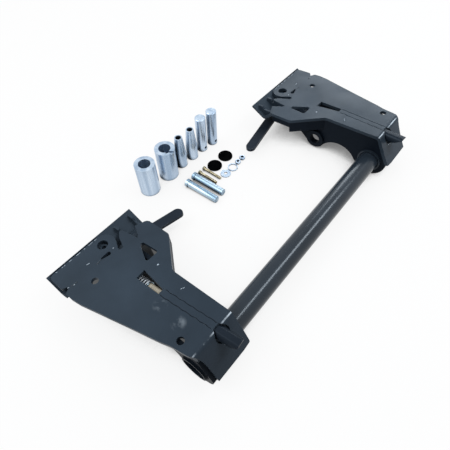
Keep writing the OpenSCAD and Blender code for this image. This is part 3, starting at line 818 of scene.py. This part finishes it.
def lathe(profile: Sequence[Pair], steps: int = 48) -> Mesh:
    """Turn a closed profile about the z axis.

    Args:
        profile: Pairs of radius and height in mm, in order round the section.
        steps: Facets round the axis.

    Returns:
        The turned mesh, smooth except at its corners.
    """
    shape = bmesh.new()
    rings: list[list[bmesh.types.BMVert]] = []
    for radius, height in profile:
        if radius < 1e-6:
            rings.append([shape.verts.new((0, 0, height * MM))] * steps)
            continue
        turns = (math.tau * i / steps for i in range(steps))
        rings.append([shape.verts.new(spot(radius, a, height)) for a in turns])
    for low, high in zip(rings, rings[1:] + rings[:1]):
        for i in range(steps):
            j = (i + 1) % steps
            corners = list(dict.fromkeys((low[i], low[j], high[j], high[i])))
            if len(corners) > 2:
                shape.faces.new(corners)
    return finished(shape, "turned")


def finished(shape: bmesh.types.BMesh, name: str, sharp: float = 35.0, crease: bool = False) -> Mesh:
    """Close up a bmesh, point its faces outwards and mark its corners sharp.

    Args:
        shape: The shape, which is freed.
        name: The mesh's name.
        sharp: Corner angle in degrees above which shading breaks.
        crease: Whether shading also breaks between two nearly level faces.

    Returns:
        The plain mesh.
    """
    bmesh.ops.remove_doubles(shape, verts=shape.verts, dist=1e-7)
    bmesh.ops.join_triangles(shape, faces=[f for f in shape.faces if len(f.verts) == 3],
                             angle_face_threshold=math.radians(0.4), angle_shape_threshold=math.pi)
    bmesh.ops.recalc_face_normals(shape, faces=shape.faces)
    for face in shape.faces:
        face.smooth = True
    for edge in shape.edges:
        faces = edge.link_faces
        edge.smooth = len(faces) < 2 or edge.calc_face_angle(0.0) < math.radians(sharp)
        if crease and len(faces) == 2 and min(abs(f.normal.z) for f in faces) > 0.9:
            edge.smooth = False
    mesh = bpy.data.meshes.new(name)
    shape.to_mesh(mesh)
    shape.free()
    return mesh


def hexagon(across: float, height: float, bore: float = 0.0) -> Mesh:
    """Make a hexagonal head or nut with turned-off corners.

    Args:
        across: Width across the flats in mm.
        height: Height in mm, from z = 0.
        bore: Radius of a hole in mm, or 0.

    Returns:
        The mesh.
    """
    flat, sixth = across / 2, math.pi / 3
    face, chamfer = flat * 0.98, across * 0.045
    bevel, depth, steps = 0.5, 0.6, 48
    shape = bmesh.new()

    def ring(limit: float, z: float, round_off: bool = True) -> list[bmesh.types.BMVert]:
        """Add a ring of points at a height, inside the hexagon unless it is left whole."""
        angles = [math.tau * i / steps for i in range(steps)]
        reach = [flat / math.cos(a % sixth - sixth / 2) if round_off else limit for a in angles]
        return [shape.verts.new(spot(min(limit, r), a, z)) for a, r in zip(angles, reach)]

    corner = flat / math.cos(sixth / 2)
    rings = [ring(face, 0), ring(corner, chamfer), ring(corner, height - chamfer), ring(face, height)]
    if bore:
        rings += [ring(bore + bevel, height, False), ring(bore, height - depth, False),
                  ring(bore, depth, False), ring(bore + bevel, 0, False)]
        loops = zip(rings, rings[1:] + rings[:1])
    else:
        shape.faces.new(list(reversed(rings[0])))
        shape.faces.new(rings[-1])
        loops = zip(rings, rings[1:])
    for low, high in loops:
        for i in range(steps):
            j = (i + 1) % steps
            shape.faces.new((low[i], low[j], high[j], high[i]))
    return finished(shape, "hexagon", 25.0)


def stand(mesh: Mesh, foot: Vector, along: Vector) -> Mesh:
    """Move a mesh made up the z axis onto a line of the row's frame.

    Args:
        mesh: The mesh, with its foot at the origin.
        foot: Where the foot goes.
        along: The direction that z turns to.

    Returns:
        The same mesh.
    """
    turn = Vector((0, 0, 1)).rotation_difference(along.normalized()).to_matrix().to_4x4()
    mesh.transform(Matrix.Translation(foot) @ turn)
    return mesh


# Sub-assemblies


@dataclass
class CadSkin:
    """Gives every CAD node a shell with closed seams, smooth rounds and its own finish."""

    shop: Workshop
    made_elsewhere: tuple[str, ...] = ("link_spring", "spring_nut", "lever_bolt", "retainer_bolts",
                                       "retainer_nuts", "rubber_discs", "cross_tube")
    creased: tuple[str, ...] = ("lever_right", "lever_left")
    sharp: float = 28.0
    finishes: dict[str, str] = field(default_factory=lambda: {"headed_pins": "pin_zinc"})

    def dress(self) -> None:
        """Finish every node, and put a smooth shell in place of those made nowhere else."""
        for part in frame["record"]["subparts"]:
            node, slot = part["node"], part["material_slot"]
            materials = frame["nodes"][node].data.materials
            materials.clear()
            materials.append(self.shop.palette[slot])
            if not node.startswith(self.made_elsewhere):
                self.shell(node, slot)

    def shell(self, node: str, slot: str) -> None:
        """Make one node's smooth shell.

        Args:
            node: The CAD node that the shell replaces.
            slot: The node's material slot.
        """
        mesh = finished(merged(node), node, self.sharp, node in self.creased)
        mesh.materials.append(self.shop.palette[self.finishes.get(node, slot)])
        mesh = modified(mesh, "WEIGHTED_NORMAL", {"keep_sharp": True}, {})
        self.shop.piece(f"{node}_shell", mesh, body_of(node), slot, [node])


@dataclass
class CrossTube:
    """The round tube that joins the two plates."""

    shop: Workshop
    wall: float = 5.0
    steps: int = 120

    def build(self) -> None:
        """Turn the tube and lay it between the inner ribs."""
        low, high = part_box("cross_tube")
        radius, length = (high.z - low.z) / 2 / MM, (high.x - low.x) / MM
        bore = radius - self.wall
        tube = lathe([(bore, 0), (bore, length), (radius, length), (radius, 0)], self.steps)
        tube.materials.append(self.shop.palette["tube_paint"])
        middle = (low + high) / 2
        stand(tube, Vector((low.x, middle.y, middle.z)), Vector((1, 0, 0)))
        self.shop.piece("main_tube", tube, body_of("cross_tube"), "tube_paint", ["cross_tube"])


@dataclass
class PinKit:
    shop: Workshop
    bolt_flats: float = 13.0
    head: float = 6.5
    length: float = 75.0
    core: float = 4.1
    neck: float = 4.6
    thread: float = 0.5
    thread_pitch: float = 1.5
    thread_ends: Pair = (26.0, 73.5)
    nut_flats: float = 17.0
    nut_bore: float = 4.9
    disc_edge: float = 1.6
    dish: tuple[Pair, ...] = ((-4.5, 0.0), (-5.5, -0.6))
    dish_depth: float = 0.9

    def build(self) -> None:
        """Make the bolts, the nuts and the discs."""
        lying, standing = Vector((0, -1, 0)), Vector((0, 0, 1))
        self.put("gold_bolts", "retainer_bolts", "yellow_zinc", self.bolt, lying)
        self.put("loose_nuts", "retainer_nuts", "blue_zinc", self.nut, standing)
        self.put("discs", "rubber_discs", "black_rubber", self.disc, standing)

    def put(self, name: str, node: str, finish: str, make: Callable[[Vector], list[Mesh]],
            along: Vector) -> None:
        """Make every solid of a node anew, joined in one piece.

        Args:
            name: The piece's name.
            node: The CAD node that it replaces.
            finish: The finish's name.
            make: Makes the meshes of one solid from its box's size in mm.
            along: The direction in which they stand.
        """
        meshes = []
        for low, high in solid_boxes(node):
            size = high - low
            foot = (low + high) / 2 - along * abs(size.dot(along)) / 2
            meshes += [stand(mesh, foot, along) for mesh in make(size / MM)]
        whole = joined(meshes, name, self.shop.palette[finish])
        self.shop.piece(name, whole, body_of(node), finish, [node])

    def bolt(self, _: Vector) -> list[Mesh]:
        """Make a retainer bolt: chamfered head, shank and rolled thread."""
        (start, end), under, tip = self.thread_ends, self.head - 0.5, self.length - 1
        shank = lathe([(0, under), (self.neck, under), (self.neck, start), (self.core, start + 1),
                       (self.core, tip), (self.core - 1, self.length), (0, self.length)])
        sizes = {"Turns": (end - start) / self.thread_pitch, "Mean Radius": self.core * MM,
                 "Height": (end - start) * MM, "Wire": self.thread * MM, "Steps": 20.0, "Sides": 6.0}
        thread = self.shop.coils.run(bpy.data.meshes.new("empty"), sizes)
        thread.transform(Matrix.Translation((0, 0, start * MM)))
        return [hexagon(self.bolt_flats, self.head), shank, thread]

    def nut(self, size: Vector) -> list[Mesh]:
        """Make a retainer nut, chamfered at both ends."""
        return [hexagon(self.nut_flats, size.z, self.nut_bore)]

    def disc(self, size: Vector) -> list[Mesh]:
        """Make a rubber disc, with a rounded rim and a shallow dish."""
        radius, height, e = size.x / 2, size.z, self.disc_edge
        arc = [(radius - e + e * math.sin(a), height - e + e * math.cos(a))
               for a in (math.radians(15 * i) for i in range(6, -1, -1))]
        dish = [(radius + x, height + z) for x, z in self.dish]
        return [lathe([(0, 0), (radius - 0.6, 0), (radius, 0.6), *arc, *dish,
                       (0, height - self.dish_depth)], 72)]


@dataclass
class PlateWelds:
    """Weld beads, spatter with painted glints, and dashes of painted glint along the lip, on one plate,
    its flange, ribs and lip.

    Places are in the plate's own frame, in mm.
    """

    shop: Workshop
    side: Side
    seams: tuple[tuple[Point, Point], ...] = (((443, 306, 0), (456, 304.3, 0)),
                                              ((518, 303.3, 0), (534, 305, 0)))
    guide_x: float = 403.4
    guide_lean: float = 0.0734
    guide_edges: Pair = (-9.0, 9.0)
    guide_sink: float = -0.35
    drops: tuple[Point, ...] = (
        (471.1, 323.7, 0), (467.5, 322.4, 0), (398.6, 308.3, 0), (541.5, 307.7, 0),
        (527.2, 302.3, 0), (365.0, 176.4, 0), (364.6, 178.4, 0), (378.2, 84.6, 0),
        (373.6, 81.6, 0), (389, -66.3, -39.8), (397, -67.3, -41.9), (408, -67.2, -41.5))
    chips: tuple[float, ...] = (408, 412, 421, 425, 431, 446, 462, 466, 470, 488, 492, 509, 515, 533)
    chip_y: float = 369.0
    crest: tuple[Point, Point] = ((405, 374.2, -0.6), (549, 374.2, -0.6))
    pivot: Pair = (-31.0, -93.0)
    bush_radius: float = 36.8
    bush_faces: tuple[float, ...] = (478.4, 459.8)
    collar_radius: float = 31.6
    collar_x: float = 346.6

    def build(self) -> None:
        """Lay every piece, each with its bead's radius and its finish."""
        plate = PlateFrame(self.side)
        spatter = [self.dash(*drop, 1.3, 0.5) for drop in self.drops]
        # Short pale dashes along the lip: painted glints.
        chips = [self.dash(x, self.chip_y, 0, 1.6) for x in self.chips]
        bushes = [self.ring(x, self.bush_radius) for x in self.bush_faces]
        collar = [self.ring(self.collar_x, self.collar_radius)]
        table = (
            ("seam_welds", 1.1, "weld_paint", self.seams),
            # The guide's beads carry painted groove shade.
            ("guide_welds", 0.9, "dark_seam", self.guide()),
            ("spatter", 0.9, "spatter", spatter),
            ("lip_chips", 0.6, "spatter", chips),
            ("lip_weld", 1.3, "frame_paint", [self.crest]),
            ("bush_welds", 1.6, "frame_paint", bushes),
            ("tube_weld", 2.0, "frame_paint", collar),
        )
        for name, bead, finish, runs in table:
            lines = [[plate.at(*point) for point in run] for run in runs]
            self.shop.weld(f"{name}_{self.side.word}", lines, bead * MM, finish)

    def guide(self) -> list[list[Point]]:
        """Return the two wavering seams along the wedge guide."""
        return [[(self.guide_x + self.guide_lean * y + edge + 0.7 * math.sin(0.24 * y + edge), y,
                  self.guide_sink) for y in range(-34, 115, 3)] for edge in self.guide_edges]

    @staticmethod
    def dash(x: float, y: float, z: float, reach: float, rise: float = 0.0) -> list[Point]:
        """Return a short line across a place."""
        return [(x - reach, y, z), (x + reach, y + rise, z)]

    def ring(self, x: float, radius: float, steps: int = 40) -> list[Point]:
        """Return a closed circle about the pivot's axis."""
        y, z = self.pivot
        angles = (math.tau * i / steps for i in range(steps + 1))
        return [(x, y + radius * math.cos(a), z + radius * math.sin(a)) for a in angles]


@dataclass
class Link:
    """The sprung link of one side: its coil, its nut and the lever's pivot bolt."""

    shop: Workshop
    side: Side
    fork_z: float = -20.5
    spring_start: float = 69.4
    wire: float = 2.4
    mean_radius: float = 10.0
    pitch: float = 8.75
    turns: float = 8.0
    washers: float = 2.4
    nut_flats: float = 19.0
    nut_height: float = 10.0
    nut_bore: float = 6.0
    head_flats: float = 24.0
    head_height: float = 10.0
    shank: float = 8.0
    shank_chamfer: float = 1.2

    def line(self) -> tuple[Vector, Vector]:
        """Return the link's lower point and its direction."""
        plate = PlateFrame(self.side)
        x, y, _ = plate.back(centre_of(f"wedge_pin_{self.side.word}"))
        low = plate.at(x, y, self.fork_z)
        joint = next(j for j in frame["joints"] if j["name"] == f"link_{self.side.word}_turn")
        return low, (Vector(joint["pos_m"]) - low).normalized()

    def build(self) -> None:
        """Make the round-wire coil, the chamfered nut and the pivot bolt."""
        low, along = self.line()
        word, body = self.side.word, f"link_{self.side.word}"
        height = self.turns * self.pitch
        sizes = {"Turns": self.turns, "Mean Radius": self.mean_radius * MM, "Height": height * MM,
                 "Wire": self.wire * MM, "Material": self.shop.palette["coil_zinc"]}
        coil = self.shop.coils.run(bpy.data.meshes.new("empty"), sizes)
        stand(coil, low + along * (self.spring_start + self.wire) * MM, along)
        self.shop.piece(f"coil_{word}", coil, body, "bright_zinc", [f"link_spring_{word}"])
        nut = hexagon(self.nut_flats, self.nut_height, self.nut_bore)
        nut.materials.append(self.shop.palette["bright_zinc"])
        foot = self.spring_start + height + 2 * self.wire + self.washers
        stand(nut, low + along * foot * MM, along)
        self.shop.piece(f"link_nut_{word}", nut, body, "bright_zinc", [f"spring_nut_{word}"])
        self.bolt()

    def bolt(self) -> None:
        """Make the lever's pivot bolt, with a chamfered head."""
        plate = PlateFrame(self.side)
        node = f"lever_bolt_{self.side.word}"
        corners = [plate.back(v.co) for v in frame["nodes"][node].data.vertices]
        low, high = min(c[2] for c in corners), max(c[2] for c in corners)
        x, y = ((min(c[i] for c in corners) + max(c[i] for c in corners)) / 2 for i in (0, 1))
        length = high - low
        shank = lathe([(0, self.head_height - 1), (self.shank, self.head_height - 1),
                       (self.shank, length - self.shank_chamfer),
                       (self.shank - self.shank_chamfer, length), (0, length)])
        head = hexagon(self.head_flats, self.head_height)
        whole = joined([head, shank], node, self.shop.palette["bright_zinc"])
        stand(whole, plate.at(x, y, low), plate.normal)
        self.shop.piece(f"pivot_bolt_{self.side.word}", whole, body_of(node), "bright_zinc", [node])


@dataclass(frozen=True)
class Lamp:
    """One rectangular soft lamp: its job, place, aim, width's direction, size and power."""

    job: Light
    place: Point
    aim: Point
    along: Point
    size: Pair
    watts: float
    tint: Colour = (0.90, 0.96, 1.0)

    def hang(self) -> None:
        """Hang the lamp where it belongs."""
        data = bpy.data.lights.new(self.job.value, "AREA")
        data.shape = "RECTANGLE"
        data.size, data.size_y = self.size
        data.energy = self.watts
        data.color = self.tint
        back = (Vector(self.place) - Vector(self.aim)).normalized()
        made = placed(self.job.value, data)
        made.matrix_world = Matrix.Translation(self.place) @ facing(back, Vector(self.along))


LAMPS = (
    Lamp(Light.KEY, (-1.5, 1.5, 2.3), (0, 0, 0), (1, 1, 0), (2.0, 1.4), 52),
    Lamp(Light.SHEEN, (2.5, 0.95, 1.5), (0.45, 0.0, 0.1), (1, -1, 0), (1.5, 1.0), 26),
    Lamp(Light.STRIP, (0.95, -0.905, 2.0), (0.1, -0.25, 0.1), (2.32, 0.23, -0.64), (1.4, 0.45), 26),
)


def facing(back: Vector, side: Vector) -> Matrix:
    """Build the turn of a lamp or camera from what lies behind it and roughly its own x axis."""
    side = (side - back * side.dot(back)).normalized()
    return Matrix((side, back.cross(side), back)).transposed().to_4x4()


def backdrop(graph: Graph, output: str, lights: Node, shown: Node, share: float = 1.0) -> None:
    """Light the object with one shader, and show another one directly and in reflections.

    Args:
        graph: The floor's or world's graph.
        output: The output node's type name.
        lights: The node of the shader that lights the object.
        shown: The node of the shader that is seen.
        share: How much of it is seen.
    """
    rays = graph.node("ShaderNodeLightPath")
    seen = graph.maths("MAXIMUM", rays.outputs["Is Camera Ray"], rays.outputs["Is Glossy Ray"])
    seen = graph.maths("MAXIMUM", seen, rays.outputs["Is Transmission Ray"])
    mix = graph.node("ShaderNodeMixShader")
    graph.links((graph.times(seen, share), mix.inputs[0]), (lights.outputs[0], mix.inputs[1]),
                (shown.outputs[0], mix.inputs[2]), (mix.outputs[0], graph.node(output).inputs[0]))


@dataclass
class Studio:
    """The floor, the lamps, the world and the camera at the photograph's angle."""

    camera_from_tube: Point = (-0.6086, -0.2081, 0.8962)
    look: Point = (0.4355, 0.3706, -0.8204)
    right: Point = (0.6341, -0.7732, -0.0126)
    focal_px: float = 384.96
    frame_px: float = 450.0
    sensor_mm: float = 36.0
    floor_reach: float = 9.0
    floor_level: float = -0.6 * MM
    floor_colour: Colour = (0.82, 0.82, 0.83)
    floor_glow: float = 0.95
    shade_reach: float = 0.3
    # Limits of the painted shadow under the plates.
    plate_sides: tuple[Point, ...] = ((0.2476, -0.505, -0.43), (-0.4, -0.316, -0.345))
    plate_ends: tuple[Pair, ...] = ((-0.20, -0.10), (0.20, 0.13))
    # Painted shadow patches on the floor, seen through the left plate's holes.
    hole_floors: tuple[Point, ...] = ((-0.472, 0.149, 0.05), (-0.300, 0.088, 0.04),
                                      (-0.444, -0.147, 0.04))
    room_tint: Colour = (0.90, 0.95, 1.0)
    room_light: float = 0.30

    def camera(self) -> None:
        """Place the camera as solved on the photograph."""
        data = bpy.data.cameras.new("camera")
        data.sensor_width = self.sensor_mm
        data.lens = self.focal_px / self.frame_px * self.sensor_mm
        made = placed("camera", data)
        place = Matrix.Translation(centre_of("cross_tube") + Vector(self.camera_from_tube))
        made.matrix_world = place @ facing(-Vector(self.look).normalized(), Vector(self.right))
        bpy.context.scene.camera = made

    def shaded(self, graph: Graph, sky: Socket) -> Socket:
        """Find where the floor's glow gets painted shadow: in deep shade, under the plates and through
        the left plate's holes.

        Args:
            graph: The floor's graph.
            sky: How open each place is, from 0 to 1.

        Returns:
            A mask that is 1 where the floor's painted shadow is darkest.
        """
        place = graph.node("ShaderNodeTexCoord")
        axes = graph.node("ShaderNodeSeparateXYZ")
        graph.link(place.outputs["Object"], axes.inputs[0])
        under = graph.spread(sky, 0.90, 0.60)
        for slope, low, high in self.plate_sides:
            edge = graph.maths("MULTIPLY_ADD", axes.outputs["Y"], slope, axes.outputs["X"])
            under = graph.times(under, graph.spread(edge, low, high))
        for low, high in self.plate_ends:
            under = graph.times(under, graph.spread(axes.outputs["Y"], low, high))
        deep = graph.times(graph.spread(sky, 0.45, 0.20), 0.8)
        shade = graph.maths("MAXIMUM", under, deep)
        for x, y, reach in self.hole_floors:
            patch = graph.near(Vector((x, y, 0)), reach, (1, 1, 0))
            shade = graph.maths("MAXIMUM", shade, graph.times(patch, 0.9))
        return shade

    def floor(self) -> None:
        """Lay the pale floor, which looks white; painted shadow darkens its glow, and its faint diffuse
        share keeps a rendered shadow.
        """
        mesh = bpy.data.meshes.new("floor")
        reach, low = self.floor_reach, self.floor_level
        corners = [(x * reach, y * reach, low) for x, y in ((-1, -1), (1, -1), (1, 1), (-1, 1))]
        mesh.from_pydata(corners, [], [(0, 1, 2, 3)])
        material = bpy.data.materials.new("floor")
        material.use_nodes = True
        graph = Graph(material.node_tree)
        cloth = graph.node("ShaderNodeBsdfDiffuse")
        cloth.inputs[0].default_value = (*self.floor_colour, 1)
        glow = graph.node("ShaderNodeEmission")
        glow.inputs[0].default_value = (1, 1, 1, 1)
        sky = graph.node("ShaderNodeAmbientOcclusion", samples=16)
        sky.inputs["Distance"].default_value = self.shade_reach
        open_sky = sky.outputs["AO"]
        lit = graph.maths("SUBTRACT", 1.0, self.shaded(graph, open_sky))
        # Painted soft contact shadow round the object.
        beside = graph.spread(open_sky, 0.35, 0.95, 0.93, 1.0)
        graph.link(graph.times(lit, beside), glow.inputs[1])
        backdrop(graph, "ShaderNodeOutputMaterial", cloth, glow, self.floor_glow)
        mesh.materials.append(material)
        made = placed("floor", mesh)

    def world(self) -> None:
        """Fill the room with plain soft light and show it white where it is seen."""
        world = bpy.data.worlds.new("studio")
        bpy.context.scene.world = world
        world.use_nodes = True
        graph = Graph(world.node_tree)
        light = graph.node("ShaderNodeBackground")
        light.inputs[0].default_value = (*self.room_tint, 1)
        light.inputs[1].default_value = self.room_light
        white = graph.node("ShaderNodeBackground")
        white.inputs[0].default_value = (1, 1, 1, 1)
        white.inputs[1].default_value = 1.0
        backdrop(graph, "ShaderNodeOutputWorld", light, white)

    def build(self) -> None:
        """Set up the whole studio."""
        self.camera()
        self.floor()
        self.world()
        for lamp in LAMPS:
            lamp.hang()
        bpy.context.scene.view_settings.view_transform = "Standard"


def main() -> None:
    """Build every sub-assembly in order and report it."""
    logging.basicConfig(level=logging.INFO, format="%(name)s: %(message)s")
    shop = Workshop()
    Studio().build()
    CadSkin(shop).dress()
    CrossTube(shop).build()
    PinKit(shop).build()
    for side in Side:
        PlateWelds(shop, side).build()
        Link(shop, side).build()


if __name__ == "__main__":
    main()
